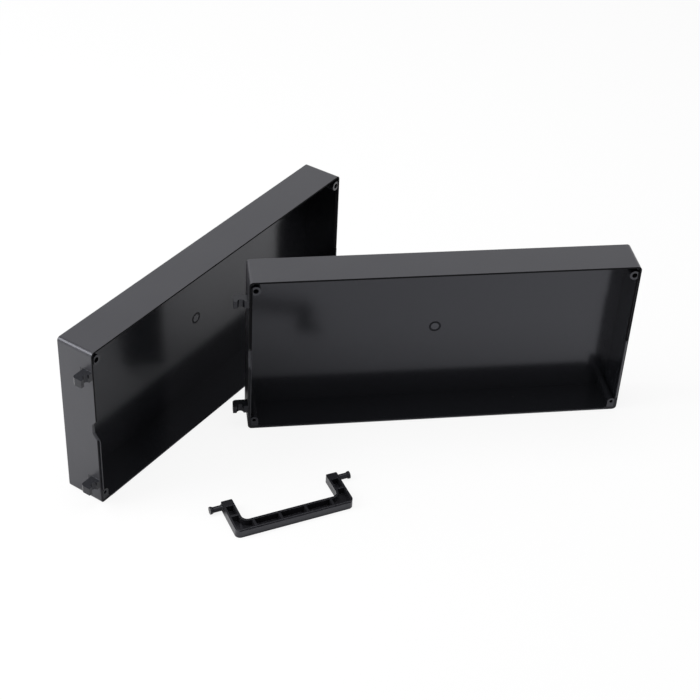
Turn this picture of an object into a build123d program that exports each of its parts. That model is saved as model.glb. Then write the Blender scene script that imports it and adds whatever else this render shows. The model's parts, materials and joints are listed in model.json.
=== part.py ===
from build123d import *
import os

# Injection moulded ABS housing, taken apart: two half shells from one mould and a carry handle.
# Closed, the halves meet rim to rim after one of them is turned over about its long axis. The tongue of
# each lower side then seats in the rebate of the other's upper side, each clearance hole meets a pilot
# hole, and the four saddles close round the two pins of the handle.

# ---------------------------------------------------------------- driving dimensions, millimetres
# half shell
shell_length = 322.0         # outside, along the rim
shell_width = 150.0          # outside, across the rim
shell_depth = 34.5           # outer face to rim
wall = 2.7
floor_thickness = 2.5
wall_draft = 0.5             # degrees, on every wall
outer_corner = 3.5           # upright outside corners
inner_corner = 1.6           # upright inside corners
outer_floor_edge = 0.8

# rim joint
tongue_height = 1.5
tongue_thickness = 1.2
joint_clearance = 0.15
tongue_lead_in = 0.3         # chamfer along the tongue's crest
tongue_gap_along = 11.0      # the tongue stops this far from each end, clear of the screw bosses
tongue_gap_across = 14.0     # and this far from each long side

# screws, 3.5 mm thread-forming
screw_from_end = 5.3         # hole centre to the end wall's outer face
screw_from_side = 8.4        # hole centre to the long wall's outer face
clearance_hole = 4.5
clearance_boss = 8.2
head_recess = 7.0
head_recess_depth = 2.2
pilot_hole = 2.8
pilot_hole_depth = 15.0
pilot_lead_in = 0.3          # chamfer at the mouth of a pilot hole
pilot_tip = 0.7              # the core pin's bevelled tip, beyond the hole's full depth
pilot_boss = 7.0
boss_draft = 0.5             # degrees

# handle bearing: pin in a split saddle
pin_diameter = 4.8
pin_clearance = 0.5          # radial
saddle_pitch = 108.0         # between the middles of the two saddles
saddle_length = 7.0          # along the pin
saddle_depth = 9.0           # rim to the back of the saddle
saddle_offset = 6.5          # end wall to the pin's axis
saddle_lip = 3.1             # plastic beyond the bore
saddle_back_corner = 3.0
saddle_root_fillet = 1.6
side_clearance = 0.4         # arm to saddle, along the pin

# cable exit, one half of it in each shell
exit_mouth = 19.0            # length at the rim
exit_flat = 8.5
exit_depth = 4.2
exit_corner = 1.5

# moulding marks on the inside face
gate_disc = 7.6
gate_groove_width = 1.2
gate_groove_depth = 0.35
ejector_mark = 5.0
ejector_mark_depth = 0.2
ejector_from_end = 13.0

# carry handle
handle_thickness = 7.6
handle_reach = 33.6          # pin axis to the outer face of the grip
arm_beyond_pin = 3.0
arm_width = 9.6
grip_depth = 10.8
handle_outer_corner = 4.5
handle_inner_corner = 5.0
arm_tip_corner = 1.0
channel_wall = 1.8
channel_floor = 1.6
channel_draft = 1.0          # degrees
rib_thickness = 2.0
grip_rib_pitch = 22.0
grip_rib_count = 4
arm_rib_from_pin = 15.3
arm_block_from_pin = 4.1     # the arm is solid from its tip to here
ledge_height = 6.4           # above this the grip's outer face steps back
ledge_depth = 0.8
pin_root_flare = 0.8
flange_diameter = 6.4
flange_flare = 1.6
flange_rim = 1.3

# how the three pieces stand and lie apart, from the right shell's lower rim corner at the handle end
left_shell_place = (-123.8, -81.6)
left_shell_turn = 47.5       # degrees
handle_place = (27.9, -117.5)   # middle of the grip's outer face
handle_turn = 15.7           # degrees

# ---------------------------------------------------------------- sizes that follow
saddle_bore = pin_diameter + 2 * pin_clearance
cavity_length = shell_length - 2 * wall
cavity_width = shell_width - 2 * wall
arm_outside = saddle_pitch / 2 - saddle_length / 2 - side_clearance
saddle_outside = saddle_pitch / 2 + saddle_length / 2
handle_length = handle_reach + arm_beyond_pin
handle_end = -shell_length / 2       # the saddles stand on this end wall
overshoot = 1.0                      # how far a cutting tool passes the face it cuts
near = 0.01                          # places closer together than this are the same place


# ---------------------------------------------------------------- half shell
# Moulding frame: X along the shell with the saddles at -X, Y across it with the clearance holes at +Y,
# Z from the outer face up to the rim.
def narrowing_block(outline, bottom):
    """A block with this outline at the rim that narrows down to its bottom by the wall draft."""
    mouth = Plane((0, 0, shell_depth), x_dir=(1, 0, 0), z_dir=(0, 0, -1))
    return extrude(mouth * outline, shell_depth - bottom, taper=wall_draft)


def tray():
    outside = narrowing_block(RectangleRounded(shell_length, shell_width, outer_corner), 0)
    outside = fillet(outside.faces().sort_by(Axis.Z)[0].edges(), outer_floor_edge)
    return outside - narrowing_block(cavity_mouth(0), floor_thickness)


def cavity_mouth(thickness):
    """The cavity's outline at the rim, grown by a thickness into the walls, as a flat face."""
    return RectangleRounded(cavity_length + 2 * thickness, cavity_width + 2 * thickness, inner_corner + thickness)


def tongue():
    band = cavity_mouth(tongue_thickness) - cavity_mouth(0)
    lower_side = Pos(0, -shell_width / 4 - joint_clearance) * Rectangle(shell_length, shell_width / 2)
    band = band & lower_side
    for end in (-1, 1):
        corner = Pos(end * shell_length / 2, -shell_width / 2)
        band -= corner * Rectangle(2 * tongue_gap_along, 2 * tongue_gap_across)
    ridge = extrude(Pos(0, 0, shell_depth - overshoot) * band, tongue_height + overshoot)
    crest = [e for e in ridge.edges() if e.center().Z > shell_depth + tongue_height / 2 and e.length > wall]
    crest = [e for e in crest if abs(e.tangent_at(0.5).Z) < 0.5]
    return chamfer(crest, tongue_lead_in)


def rebate():
    upper_side = Pos(0, shell_width / 4) * Rectangle(shell_length, shell_width / 2)
    recess = cavity_mouth(tongue_thickness + joint_clearance) & upper_side
    depth = tongue_height + joint_clearance
    return extrude(Pos(0, 0, shell_depth - depth) * recess, depth + overshoot)


def screw_boss(outline):
    """A column from the rim down into the floor, thicker at its foot."""
    mouth = Plane((0, 0, shell_depth), x_dir=(1, 0, 0), z_dir=(0, 0, 1))
    return extrude(mouth * outline, floor_thickness / 2 - shell_depth, taper=-boss_draft)


def ring_outline():
    return Circle(clearance_boss / 2)


def arch_outline():
    """A round end with straight sides that run on into the long wall below it."""
    length = screw_from_side - wall / 2
    return Circle(pilot_boss / 2) + Pos(0, -length / 2) * Rectangle(pilot_boss, length)


def pilot_core():
    """The core pin of a pilot hole, from its bevelled tip to the lead-in at the rim."""
    radius = pilot_hole / 2
    tip = -pilot_hole_depth - pilot_tip
    mouth = radius + pilot_lead_in + overshoot
    outline = Polyline(
        (0, tip),
        (radius - pilot_tip, tip),
        (radius, -pilot_hole_depth),
        (radius, -pilot_lead_in),
        (mouth, overshoot),
        (0, overshoot),
        close=True)
    return revolve(Plane.XZ * make_face(outline), Axis.Z)


def screw_places(side):
    """Hole centres at both ends of one long side: +1 is the clearance side, -1 the pilot side."""
    y = side * (shell_width / 2 - screw_from_side)
    x = shell_length / 2 - screw_from_end
    return [Pos(-x, y), Pos(x, y)]


def saddle_profile():
    """The saddle seen along the pin, drawn in X (away from the end wall) and Y (rim at zero, floor below)."""
    reach = saddle_offset + saddle_bore / 2 + saddle_lip
    block = Pos(-reach / 2, -saddle_depth / 2) * Rectangle(reach, saddle_depth)
    block = fillet(block.vertices().sort_by(Axis.X)[:2].sort_by(Axis.Y)[:1], saddle_back_corner)
    root_length = saddle_depth + 2 * saddle_root_fillet
    root = Pos(wall / 4, -root_length / 2) * Rectangle(wall / 2, root_length)
    profile = block + root
    concave = [v for v in profile.vertices() if abs(v.X) < near and abs(v.Y + saddle_depth) < near]
    profile = fillet(concave, saddle_root_fillet)
    return profile - Pos(-saddle_offset, 0) * Circle(saddle_bore / 2)


def saddle(side):
    """One of the two saddles, its bore open towards the rim."""
    start = side * saddle_pitch / 2 + saddle_length / 2
    view_along_pin = Plane((handle_end, start, shell_depth), x_dir=(1, 0, 0), z_dir=(0, -1, 0))
    return extrude(view_along_pin * saddle_profile(), saddle_length)


def cable_exit():
    """Half of the opening for the cable, cut down from the rim through the end wall."""
    slope = (exit_mouth - exit_flat) / 2 / exit_depth
    top = overshoot + tongue_height
    outline = Polygon(
        (-exit_mouth / 2 - slope * top, top),
        (-exit_flat / 2, -exit_depth),
        (exit_flat / 2, -exit_depth),
        (exit_mouth / 2 + slope * top, top),
        align=None)
    outline = fillet(outline.vertices().sort_by(Axis.Y)[:2], exit_corner)
    outer_face = Plane((handle_end - overshoot, 0, shell_depth), x_dir=(0, 1, 0), z_dir=(1, 0, 0))
    return extrude(outer_face * outline, wall + 2 * overshoot)


def gate_mark():
    groove = Circle(gate_disc / 2 + gate_groove_width) - Circle(gate_disc / 2)
    return extrude(Pos(0, 0, floor_thickness - gate_groove_depth) * groove, gate_groove_depth + overshoot)


def ejector_dimple():
    place = Pos(shell_length / 2 - ejector_from_end, 0, floor_thickness - ejector_mark_depth)
    return extrude(place * Circle(ejector_mark / 2), ejector_mark_depth + overshoot)


def half_shell():
    shell = tray() - rebate() + tongue()
    for side in (-1, 1):
        shell += saddle(side)
    for place in screw_places(1):
        shell += place * screw_boss(ring_outline())
    for place in screw_places(-1):
        shell += place * screw_boss(arch_outline())
    for place in screw_places(1):
        shell -= place * Cylinder(clearance_hole / 2, 3 * shell_depth)
        shell -= place * Cylinder(head_recess / 2, 2 * head_recess_depth)
    for place in screw_places(-1):
        shell -= place * Pos(0, 0, shell_depth) * pilot_core()
    return shell - cable_exit() - gate_mark() - ejector_dimple()


# ---------------------------------------------------------------- carry handle
# Lying frame: X along the grip, Y from the grip's outer face towards the arm tips, Z up with the open
# side of the channel on top.
def handle_outline():
    outer = Pos(0, handle_length / 2) * Rectangle(2 * arm_outside, handle_length)
    opening_width = 2 * (arm_outside - arm_width)
    opening = Pos(0, grip_depth + handle_length / 2) * Rectangle(opening_width, handle_length)
    plan = outer - opening
    outer_corners = plan.vertices().sort_by(Axis.Y)[:2]
    plan = fillet(outer_corners, handle_outer_corner)
    inner_corners = [v for v in plan.vertices() if abs(v.Y - grip_depth) < near]
    plan = fillet(inner_corners, handle_inner_corner)
    tips = [v for v in plan.vertices() if abs(v.Y - handle_length) < near]
    return fillet(tips, arm_tip_corner)


def channel_cells(plan):
    """The open cells of the channel, in plan: what its walls, ribs and arm blocks leave."""
    cells = offset(plan, -channel_wall)
    for number in range(grip_rib_count):
        x = (number - (grip_rib_count - 1) / 2) * grip_rib_pitch
        cells -= Pos(x, grip_depth / 2) * Rectangle(rib_thickness, grip_depth)
    for end in (-1, 1):
        arm_middle = end * (arm_outside - arm_width / 2)
        cells -= Pos(arm_middle, handle_reach - arm_rib_from_pin) * Rectangle(arm_width, rib_thickness)
        block = arm_block_from_pin + arm_beyond_pin
        cells -= Pos(arm_middle, handle_length - block / 2) * Rectangle(arm_width, block)
    return cells


def handle_body():
    plan = handle_outline()
    body = extrude(plan, handle_thickness)
    ledge = Box(2 * arm_outside, 2 * ledge_depth, 2 * (handle_thickness - ledge_height))
    body -= Pos(0, 0, handle_thickness) * ledge
    for cell in channel_cells(plan).faces():
        mouth = Plane((0, 0, handle_thickness), x_dir=(1, 0, 0), z_dir=(0, 0, 1))
        body -= extrude(mouth * cell, -(handle_thickness - channel_floor), taper=channel_draft)
    return body


def turned(*points):
    """A solid turned about the pin's axis from the outline of its upper half, given as (x, radius) points."""
    outline = make_face(Polyline(*points, close=True))
    return Pos(0, handle_reach, handle_thickness / 2) * revolve(outline, Axis.X)


def handle_pin():
    """A spool-shaped pin on the +X arm: flared root, neck and flared flange."""
    neck = pin_diameter / 2
    root = neck + pin_root_flare
    flange = flange_diameter / 2
    start = arm_outside - arm_width / 2
    root_end = arm_outside + pin_root_flare
    flare_end = saddle_outside + flange_flare
    end = flare_end + flange_rim
    return turned(
        (start, 0), (start, root), (arm_outside, root), (root_end, neck), (saddle_outside, neck),
        (flare_end, flange), (end, flange), (end, 0))


def carry_handle():
    body = handle_body()
    pin = handle_pin()
    return body + pin + mirror(pin, about=Plane.YZ)


# ---------------------------------------------------------------- the pieces where they stand and lie
# Each shell stands on its lower long wall. The wall's draft leans the shell back by the same angle.
shell = half_shell()
upright = Rot(-wall_draft, 0, 0) * Pos(shell_length / 2, shell_depth, shell_width / 2) * Rot(90, 0, 0)
pieces = {
    "right_half_shell": upright * shell,
    "left_half_shell": Pos(*left_shell_place) * Rot(0, 0, left_shell_turn) * upright * shell,
    "carry_handle": Pos(*handle_place) * Rot(0, 0, handle_turn) * carry_handle(),
}
spread = Compound(list(pieces.values())).bounding_box()
to_origin = Pos(-spread.center().X, -spread.center().Y, 0)

os.makedirs("parts", exist_ok=True)
for name, piece in pieces.items():
    export_step(to_origin * piece, f"parts/{name}.step")
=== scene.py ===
import json
import math

import bpy
from mathutils import Matrix, Vector

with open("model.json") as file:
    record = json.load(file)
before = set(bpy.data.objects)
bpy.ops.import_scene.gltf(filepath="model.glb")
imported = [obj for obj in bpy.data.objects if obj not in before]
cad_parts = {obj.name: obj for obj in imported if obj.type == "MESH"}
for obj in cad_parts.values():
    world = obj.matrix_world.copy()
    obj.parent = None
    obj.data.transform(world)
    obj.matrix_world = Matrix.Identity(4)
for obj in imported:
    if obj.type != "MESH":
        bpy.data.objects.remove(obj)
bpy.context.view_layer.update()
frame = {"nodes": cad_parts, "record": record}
scene = bpy.context.scene
print("frame loaded:", ", ".join(sorted(frame["nodes"])))

mm = 0.001   # metres


# small helpers

def linear(hexColour):
    # sRGB hex to the linear values that Blender's sockets hold
    values = [int(hexColour[i:i + 2], 16) / 255 for i in (1, 3, 5)]
    return [v / 12.92 if v <= 0.04045 else ((v + 0.055) / 1.055) ** 2.4 for v in values] + [1.0]


def addNode(tree, kind, settings=None, inputs=None):
    # an input is a fixed value, a node whose first output is linked, or a (node, output) pair
    node = tree.nodes.new(kind)
    for name, value in (settings or {}).items():
        setattr(node, name, value)
    for name, value in (inputs or {}).items():
        isPair = isinstance(value, tuple) and isinstance(value[0], bpy.types.Node)
        source, output = value if isPair else (value, 0)
        if isinstance(source, bpy.types.Node):
            tree.links.new(source.outputs[output], node.inputs[name])
        else:
            node.inputs[name].default_value = value
    return node


def newMaterial(name):
    material = bpy.data.materials.new(name)
    material.use_nodes = True
    material.node_tree.nodes.clear()
    return material, material.node_tree


def perMillimetre(size):
    # texture scale that makes one feature this many millimetres across
    return 1 / (size * mm)


ringSpacing = math.pi / 10   # between the rings of a Wave texture at scale 1


def dress(node, material):
    thing = frame["nodes"][node]
    thing.data.materials.clear()
    thing.data.materials.append(material)


# settings of the nodes that calculate or mix
mathNode = "ShaderNodeMath"
plus = {"operation": "ADD"}
minus = {"operation": "SUBTRACT"}
times = {"operation": "MULTIPLY"}
timesPlus = {"operation": "MULTIPLY_ADD"}
larger = {"operation": "MAXIMUM"}
below = {"operation": "LESS_THAN"}
above = {"operation": "GREATER_THAN"}
unsigned = {"operation": "ABSOLUTE"}
blendValue = "ShaderNodeMapRange"
blendColour = "ShaderNodeMixRGB"

# settings of the node that rounds an edge in the shading
softEdge = {"samples": 6}


# where the pieces stand and lie, read from their mounts

mounts = {mount["name"]: mount for mount in frame["record"]["mounts"]}


def mountPlace(name):
    return Vector(mounts[name]["pos_m"])


def shellFrame(side):
    # x along the shell to its handle end, y up as it stands, z out of its outer face
    nearHole = mountPlace(side + "_pilot_hole_handle_end")
    farHole = mountPlace(side + "_pilot_hole_far_end")
    along = (nearHole - farHole).normalized()
    outwards = Vector(mounts[side + "_outer_face"]["axis"]).normalized()
    up = outwards.cross(along).normalized()
    turn = Matrix((along, up, outwards)).transposed()
    return mountPlace(side + "_outer_face"), turn.to_euler()


# camera

camera = {
    "place": (-0.1864, -1.0522, 0.8885),
    "aim": (0.0153, 0.0757, 0.0),
    "roll": 0.0618,          # radians, a slight lean of the camera
    "lens": 82.56,
    "sensor": 36.0,
}


def makeCamera():
    data = bpy.data.cameras.new("camera")
    data.lens = camera["lens"]
    data.sensor_width = camera["sensor"]
    thing = bpy.data.objects.new("camera", data)
    scene.collection.objects.link(thing)
    look = Vector(camera["aim"]) - Vector(camera["place"])
    turn = look.to_track_quat("-Z", "Y").to_matrix() @ Matrix.Rotation(camera["roll"], 3, "Z")
    thing.matrix_world = Matrix.Translation(camera["place"]) @ turn.to_4x4()
    scene.camera = thing


makeCamera()
print("camera placed")


# studio: a white table and soft light

studio = {
    "floorSize": 8.0,
    "floorColour": "#f4f4f4",
    "glowColour": "#ffffff",
    "floorGlow": 0.88,            # share of the table's white that no shadow darkens, as the camera sees it
    "glossPaintedLight": (0.0, 0.45),     # painted light: the same share in reflections, at the left and at the right
    "glossPaintedStrength": 2.0,         # painted light: in reflections the table glows this much brighter, as if a window beyond the right edge lit it there
    "glossSpan": (-0.12, 0.3),    # metres along x between the two
    "worldColour": "#ffffff",
    "worldStrength": 0.42,
    "ceilingFrom": 0.66,          # height on the unit sphere where the white walls end
    "ceilingBlend": 0.08,
    "ceilingTone": 0.35,
    "lights": {
        "top light": {"place": (0.0, 0.1, 1.6), "size": 1.2, "power": 15.0},
        "key light": {"place": (-1.5, 0.0, 1.05), "size": 1.0, "power": 26.0},
    },
}


def makeFloor():
    bpy.ops.object.select_all(action="DESELECT")
    bpy.ops.mesh.primitive_plane_add(size=studio["floorSize"], location=(0, 0, 0))
    floor = bpy.context.object
    floor.name = "table"
    material, tree = newMaterial("white laminate, matt pressed")   # an even white with no gloss, whose reflections carry painted light, brighter towards the right
    matt = addNode(tree, "ShaderNodeBsdfDiffuse", None, {"Color": linear(studio["floorColour"])})
    path = addNode(tree, "ShaderNodeLightPath")
    strength = addNode(tree, blendValue, None, {
        "Value": (path, "Is Glossy Ray"), "To Min": 1.0, "To Max": studio["glossPaintedStrength"]})
    glow = addNode(tree, "ShaderNodeEmission", None, {
        "Color": linear(studio["glowColour"]), "Strength": strength})
    here = addNode(tree, "ShaderNodeTexCoord")
    parts = addNode(tree, "ShaderNodeSeparateXYZ", None, {0: (here, "Object")})
    left, right = studio["glossSpan"]
    leftGlow, rightGlow = studio["glossPaintedLight"]
    # painted light: in reflections the table's glow grows from left to right
    paintedLightShare = addNode(tree, blendValue, None, {
        "Value": (parts, "X"), "From Min": left, "From Max": right, "To Min": leftGlow, "To Max": rightGlow})
    cameraShare = addNode(tree, mathNode, times, {0: (path, "Is Camera Ray"), 1: studio["floorGlow"]})
    share = addNode(tree, mathNode, timesPlus, {0: (path, "Is Glossy Ray"), 1: paintedLightShare, 2: cameraShare})
    both = addNode(tree, "ShaderNodeMixShader", None, {0: share, 1: matt, 2: glow})
    addNode(tree, "ShaderNodeOutputMaterial", None, {"Surface": both})
    floor.data.materials.append(material)


def makeWorld():
    # white to the camera and in reflections, with a darker ceiling, and dimmer as a lamp
    world = bpy.data.worlds.new("studio")
    world.use_nodes = True
    tree = world.node_tree
    tree.nodes.clear()
    path = addNode(tree, "ShaderNodeLightPath")
    seen = addNode(tree, mathNode, larger, {0: (path, "Is Camera Ray"), 1: (path, "Is Glossy Ray")})
    strength = addNode(tree, blendValue, None, {
        "Value": seen, "To Min": studio["worldStrength"], "To Max": 1.0})
    direction = addNode(tree, "ShaderNodeTexCoord")
    parts = addNode(tree, "ShaderNodeSeparateXYZ", None, {0: (direction, "Generated")})
    tone = addNode(tree, blendValue, None, {
        "Value": (parts, "Z"),
        "From Min": studio["ceilingFrom"], "From Max": studio["ceilingFrom"] + studio["ceilingBlend"],
        "To Min": 1.0, "To Max": studio["ceilingTone"]})
    strength = addNode(tree, mathNode, times, {0: strength, 1: tone})
    sky = addNode(tree, "ShaderNodeBackground", None, {
        "Color": linear(studio["worldColour"]), "Strength": strength})
    addNode(tree, "ShaderNodeOutputWorld", None, {"Surface": sky})
    scene.world = world


def makeLight(name, values):
    data = bpy.data.lights.new(name, "AREA")
    data.size = values["size"]
    data.energy = values["power"]
    thing = bpy.data.objects.new(name, data)
    scene.collection.objects.link(thing)
    turn = (-Vector(values["place"])).to_track_quat("-Z", "Y").to_matrix()   # aimed at the table's middle
    thing.matrix_world = Matrix.Translation(values["place"]) @ turn.to_4x4()


makeFloor()
makeWorld()
for lightName, lightValues in studio["lights"].items():
    makeLight(lightName, lightValues)
scene.view_settings.view_transform = "Standard"
print("studio made")


# half shells

shell = {
    # sizes in millimetres, as moulded
    "length": 322.0,
    "width": 150.0,
    "depth": 34.5,
    "wall": 2.7,
    "floor": 2.5,
    "draft": 0.5,                     # degrees
    "rebateDepth": 1.8,               # of the zone, a little past the 1.65 of the moulded step
    "gateRing": (3.4, 5.2),           # radii of the zone, a little past both edges of the moulded groove
    "margin": 0.05,                   # how far a zone passes the face that it covers
    # plastic
    "ior": 1.47,
    "gloss": 0.5,
    "sheenTint": "#f2f3ff",           # its reflections are faintly blue
    "insideColour": "#191a1d",
    "insideRoughness": (0.13, 0.18),
    "outsideColour": ("#2f2f32", "#353538"),
    "outsideRoughness": (0.28, 0.34),  # all over 0.27, where the denoiser would draw a line round each patch
    "mottle": 45.0,
    "smear": 38.0,
    "smearTwist": 0.6,
    # rim joint: painted shade, a near-black matt colour with little gloss on the rebate step and beside the
    # tongue, where shade falls in the joint
    "rimShadeColour": "#0c0c0d",
    "rimShadeAndDustRoughness": 0.8,
    "rimShadeGloss": 0.12,
    "tongueSideShade": 0.6,           # how much of that painted shade the land beside the tongue takes
    # saddles and gate
    # painted shade: the saddles' lower gloss darkens them as if they lay in their own shade
    "saddleShadeGloss": 0.34,
    "gateGloss": 0.3,                 # share of the gloss that the ring keeps
    "gateRoughness": 0.45,
    "blushColour": "#3e3f44",         # pale stressed plastic over the gate
    "blushPatch": 2.5,
    # relief
    "edgeRadius": 0.25,
    "grain": 0.7,                     # the real spark grain is 0.05 mm, too fine to show, so it is drawn coarser
    "grainHeight": 0.012,
    "flowPitch": 9.0,                 # between the waves of the melt's front
    "flowHeight": 0.0012,
    "flowTwist": 1.5,
    "dragWidth": 1.6,                 # lines that the core drew as the part came off it
    "dragStretch": 25.0,
    "dragRoughness": 0.03,
    # dust on faces that look up
    "dustCell": 9.0,
    "dustRadius": 0.22,
    "dustFrom": 0.55,                 # cells above this tone, of 0 to 1, hold a speck
    "dustSlope": 0.7,
    "dustColour": "#8c8a86",
}


def shellPlace(tree, side):
    # coordinates in the shell's own frame
    middle, turn = shellFrame(side)
    here = addNode(tree, "ShaderNodeTexCoord")
    return addNode(tree, "ShaderNodeMapping", {"vector_type": "TEXTURE"}, {
        "Vector": (here, "Object"), "Location": middle, "Rotation": turn})


def shellZones(tree, place):
    # masks: inside is what the polished core and the saddle inserts form; the rim mask is painted shade on the
    # stepped half of the rim and on part of the other half's land beside the tongue, where shade falls in the
    # joint; onSaddle is the saddles alone
    margin = shell["margin"] * mm
    parts = addNode(tree, "ShaderNodeSeparateXYZ", None, {0: place})
    fromRim = addNode(tree, mathNode, plus, {0: (parts, "Z"), 1: shell["depth"] * mm})
    drawn = addNode(tree, mathNode, times, {0: fromRim, 1: math.tan(math.radians(shell["draft"]))})
    inside = addNode(tree, mathNode, below, {0: (parts, "Z"), 1: -shell["floor"] / 2 * mm})
    inWall = 0.0
    fromMiddle = {}
    for axis, size in (("X", shell["length"]), ("Y", shell["width"])):
        distance = addNode(tree, mathNode, unsigned, {0: (parts, axis)})
        distance = addNode(tree, mathNode, plus, {0: distance, 1: drawn})
        within = addNode(tree, mathNode, below, {0: distance, 1: (size - shell["wall"]) / 2 * mm})
        beyond = addNode(tree, mathNode, above, {0: distance, 1: (size / 2 - shell["wall"]) * mm - margin})
        inside = addNode(tree, mathNode, times, {0: inside, 1: within})
        inWall = addNode(tree, mathNode, larger, {0: inWall, 1: beyond})
        fromMiddle[axis] = distance
    onSaddle = addNode(tree, mathNode, above, {0: fromMiddle["X"], 1: shell["length"] / 2 * mm + margin})
    offSaddle = addNode(tree, mathNode, minus, {0: 1.0, 1: onSaddle})
    inside = addNode(tree, mathNode, larger, {0: inside, 1: onSaddle})

    atRim = addNode(tree, mathNode, below, {0: fromRim, 1: margin})
    inStep = addNode(tree, mathNode, below, {0: fromRim, 1: shell["rebateDepth"] * mm})
    inStep = addNode(tree, mathNode, times, {0: inStep, 1: inside})
    stepped = addNode(tree, mathNode, larger, {0: atRim, 1: inStep})
    besideTongue = addNode(tree, mathNode, unsigned, {0: fromRim})
    besideTongue = addNode(tree, mathNode, below, {0: besideTongue, 1: margin})
    besideTongue = addNode(tree, mathNode, times, {0: besideTongue, 1: shell["tongueSideShade"]})
    upper = addNode(tree, mathNode, above, {0: (parts, "Y"), 1: 0.0})
    paintedRimShade = addNode(tree, blendValue, None, {"Value": upper, "To Min": besideTongue, "To Max": stepped})
    paintedRimShade = addNode(tree, mathNode, times, {0: paintedRimShade, 1: inWall})
    paintedRimShade = addNode(tree, mathNode, times, {0: paintedRimShade, 1: offSaddle})
    return inside, paintedRimShade, onSaddle


def gateZones(tree, place, inside):
    # the groove round the gate mark, and the disc within it
    inner, outer = shell["gateRing"]
    flat = addNode(tree, "ShaderNodeVectorMath", times, {0: place, 1: (1.0, 1.0, 0.0)})
    length = addNode(tree, "ShaderNodeVectorMath", {"operation": "LENGTH"}, {0: flat})
    beyondInner = addNode(tree, mathNode, above, {0: (length, "Value"), 1: inner * mm})
    withinOuter = addNode(tree, mathNode, below, {0: (length, "Value"), 1: outer * mm})
    withinInner = addNode(tree, mathNode, below, {0: (length, "Value"), 1: inner * mm})
    ring = addNode(tree, mathNode, times, {0: beyondInner, 1: withinOuter})
    ring = addNode(tree, mathNode, times, {0: ring, 1: inside})
    disc = addNode(tree, mathNode, times, {0: withinInner, 1: inside})
    return ring, disc


def dustZone(tree, place):
    cells = addNode(tree, "ShaderNodeTexVoronoi", None, {
        "Vector": place, "Scale": perMillimetre(shell["dustCell"])})
    near = addNode(tree, mathNode, below, {
        0: (cells, "Distance"), 1: shell["dustRadius"] / shell["dustCell"]})
    tone = addNode(tree, "ShaderNodeSeparateColor", None, {0: (cells, "Color")})
    held = addNode(tree, mathNode, above, {0: tone, 1: shell["dustFrom"]})
    facing = addNode(tree, "ShaderNodeNewGeometry")
    parts = addNode(tree, "ShaderNodeSeparateXYZ", None, {0: (facing, "Normal")})
    lying = addNode(tree, mathNode, above, {0: (parts, "Z"), 1: shell["dustSlope"]})
    specks = addNode(tree, mathNode, times, {0: near, 1: held})
    return addNode(tree, mathNode, times, {0: specks, 1: lying})


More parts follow.
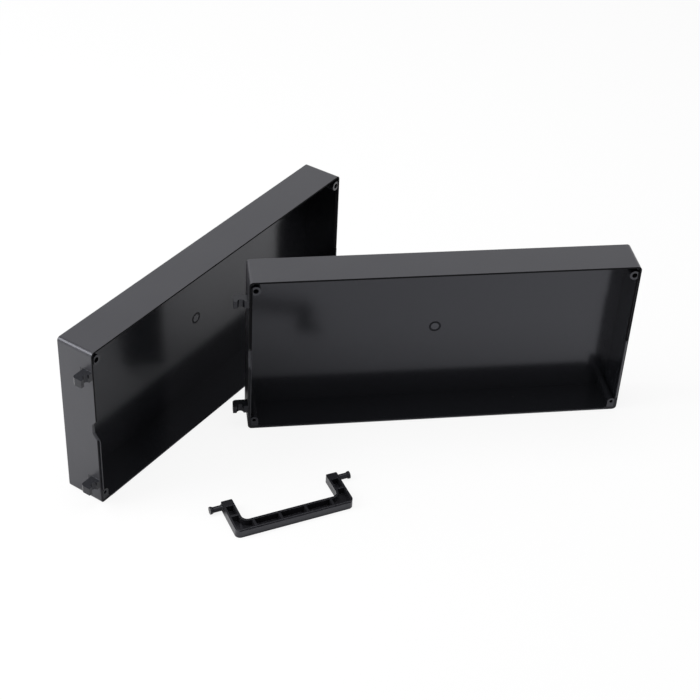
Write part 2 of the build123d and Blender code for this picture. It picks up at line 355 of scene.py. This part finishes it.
def shellMaterial(side):
    # core side polished to a mirror that shows the table, outer side spark-eroded to a fine dull grain
    material, tree = newMaterial("black ABS injection moulded, polished core and spark-eroded cavity, " + side)
    place = shellPlace(tree, side)
    inside, paintedRimShade, onSaddle = shellZones(tree, place)
    ring, disc = gateZones(tree, place, inside)
    specks = dustZone(tree, place)

    mottle = addNode(tree, "ShaderNodeTexNoise", None, {
        "Vector": place, "Scale": perMillimetre(shell["mottle"]), "Detail": 3.0})
    blush = addNode(tree, "ShaderNodeTexNoise", None, {
        "Vector": place, "Scale": perMillimetre(shell["blushPatch"]), "Detail": 1.0})
    blush = addNode(tree, mathNode, times, {0: disc, 1: blush})
    darker, paler = shell["outsideColour"]
    colour = addNode(tree, blendColour, None, {0: mottle, 1: linear(darker), 2: linear(paler)})
    # the rim's near-black is painted shade; the dust and the gate's blush are their own colours
    for zone, zoneColour in ((inside, "insideColour"), (paintedRimShade, "rimShadeColour"),
                             (specks, "dustColour"), (blush, "blushColour")):
        colour = addNode(tree, blendColour, None, {0: zone, 1: colour, 2: linear(shell[zoneColour])})

    smears = addNode(tree, "ShaderNodeTexNoise", None, {
        "Vector": place, "Scale": perMillimetre(shell["smear"]), "Detail": 4.0,
        "Distortion": shell["smearTwist"]})
    drawnOut = addNode(tree, "ShaderNodeVectorMath", times, {0: place, 1: (1.0, 1.0, 1 / shell["dragStretch"])})
    drag = addNode(tree, "ShaderNodeTexNoise", None, {
        "Vector": drawnOut, "Scale": perMillimetre(shell["dragWidth"]), "Detail": 2.0})
    glossier, duller = shell["insideRoughness"]
    polish = addNode(tree, blendValue, None, {"Value": smears, "To Min": glossier, "To Max": duller})
    polish = addNode(tree, mathNode, timesPlus, {0: drag, 1: shell["dragRoughness"], 2: polish})
    glossier, duller = shell["outsideRoughness"]
    dull = addNode(tree, blendValue, None, {"Value": mottle, "To Min": glossier, "To Max": duller})
    roughness = addNode(tree, blendValue, None, {"Value": inside, "To Min": dull, "To Max": polish})
    # the rim's painted shade and the dust specks both take this matt roughness
    roughest = addNode(tree, mathNode, larger, {0: paintedRimShade, 1: specks})
    roughness = addNode(tree, blendValue, None, {
        "Value": roughest, "To Min": roughness, "To Max": shell["rimShadeAndDustRoughness"]})
    roughness = addNode(tree, blendValue, None, {
        "Value": ring, "To Min": roughness, "To Max": shell["gateRoughness"]})

    # painted shade: less gloss on the saddles darkens them
    gloss = addNode(tree, blendValue, None, {
        "Value": onSaddle, "To Min": shell["gloss"], "To Max": shell["saddleShadeGloss"]})
    # painted shade: the rim's step and land lose most of their gloss
    gloss = addNode(tree, blendValue, None, {
        "Value": paintedRimShade, "To Min": gloss, "To Max": shell["rimShadeGloss"]})
    ringGloss = addNode(tree, blendValue, None, {"Value": ring, "To Min": 1.0, "To Max": shell["gateGloss"]})
    gloss = addNode(tree, mathNode, times, {0: gloss, 1: ringGloss})

    waves = addNode(tree, "ShaderNodeTexWave", {"wave_type": "RINGS", "rings_direction": "Z"}, {
        "Vector": place, "Scale": ringSpacing * perMillimetre(shell["flowPitch"]),
        "Distortion": shell["flowTwist"], "Detail": 2.0, "Detail Scale": 0.8})
    grain = addNode(tree, "ShaderNodeTexNoise", None, {
        "Vector": place, "Scale": perMillimetre(shell["grain"]), "Detail": 1.0})
    flow = addNode(tree, mathNode, times, {0: (waves, "Fac"), 1: shell["flowHeight"] * mm})
    spark = addNode(tree, mathNode, times, {0: grain, 1: shell["grainHeight"] * mm})
    height = addNode(tree, blendValue, None, {"Value": inside, "To Min": spark, "To Max": flow})
    edge = addNode(tree, "ShaderNodeBevel", softEdge, {"Radius": shell["edgeRadius"] * mm})
    facing = addNode(tree, "ShaderNodeNewGeometry")
    normal = addNode(tree, blendColour, None, {0: inside, 1: edge, 2: (facing, "Normal")})   # core edges are sharp
    relief = addNode(tree, "ShaderNodeBump", None, {
        "Strength": 1.0, "Distance": 1.0, "Height": height, "Normal": normal})

    surface = addNode(tree, "ShaderNodeBsdfPrincipled", None, {
        "Base Color": colour,
        "Roughness": roughness,
        "Specular IOR Level": gloss,
        "Specular Tint": linear(shell["sheenTint"]),
        "IOR": shell["ior"],
        "Normal": relief})
    addNode(tree, "ShaderNodeOutputMaterial", None, {"Surface": surface})
    return material


for shellSide in ("right", "left"):
    dress(shellSide + "_half_shell", shellMaterial(shellSide))
print("half shells dressed")


# carry handle

handle = {
    "turn": 15.7,                # degrees, as it lies
    "armOutside": 50.1,          # millimetres from its middle
    "margin": 0.1,
    "colour": ("#1b1b1e", "#232326"),
    "roughness": (0.17, 0.27),
    "ior": 1.47,
    "gloss": 0.5,
    "pinGloss": 0.2,             # the pins come from bare drilled inserts
    "cloud": 12.0,
    "edgeRadius": 0.3,
    "grain": 0.8,                # the real grain is 0.08 mm, drawn coarser so that it shows
    "grainHeight": 0.01,
}


def handleMaterial():
    # satin from a stoned tool: soft highlights with a little sparkle in them
    material, tree = newMaterial("black ABS injection moulded, stoned satin")
    here = addNode(tree, "ShaderNodeTexCoord")
    cloud = addNode(tree, "ShaderNodeTexNoise", None, {
        "Vector": (here, "Object"), "Scale": perMillimetre(handle["cloud"]), "Detail": 3.0})
    grain = addNode(tree, "ShaderNodeTexNoise", None, {
        "Vector": (here, "Object"), "Scale": perMillimetre(handle["grain"]), "Detail": 1.0})
    darker, paler = handle["colour"]
    colour = addNode(tree, blendColour, None, {0: cloud, 1: linear(darker), 2: linear(paler)})
    glossier, duller = handle["roughness"]
    roughness = addNode(tree, blendValue, None, {"Value": cloud, "To Min": glossier, "To Max": duller})

    own = addNode(tree, "ShaderNodeMapping", {"vector_type": "TEXTURE"}, {
        "Vector": (here, "Object"), "Location": mountPlace("handle_underside"),
        "Rotation": (0, 0, math.radians(handle["turn"]))})
    parts = addNode(tree, "ShaderNodeSeparateXYZ", None, {0: own})
    fromMiddle = addNode(tree, mathNode, unsigned, {0: (parts, "X")})
    onPin = addNode(tree, mathNode, above, {0: fromMiddle, 1: (handle["armOutside"] + handle["margin"]) * mm})
    gloss = addNode(tree, blendValue, None, {
        "Value": onPin, "To Min": handle["gloss"], "To Max": handle["pinGloss"]})

    height = addNode(tree, mathNode, times, {0: grain, 1: handle["grainHeight"] * mm})
    edge = addNode(tree, "ShaderNodeBevel", softEdge, {"Radius": handle["edgeRadius"] * mm})
    relief = addNode(tree, "ShaderNodeBump", None, {
        "Strength": 1.0, "Distance": 1.0, "Height": height, "Normal": edge})
    surface = addNode(tree, "ShaderNodeBsdfPrincipled", None, {
        "Base Color": colour,
        "Roughness": roughness,
        "Specular IOR Level": gloss,
        "Specular Tint": linear(shell["sheenTint"]),
        "IOR": handle["ior"],
        "Normal": relief})
    addNode(tree, "ShaderNodeOutputMaterial", None, {"Surface": surface})
    return material


dress("carry_handle", handleMaterial())
print("handle dressed")
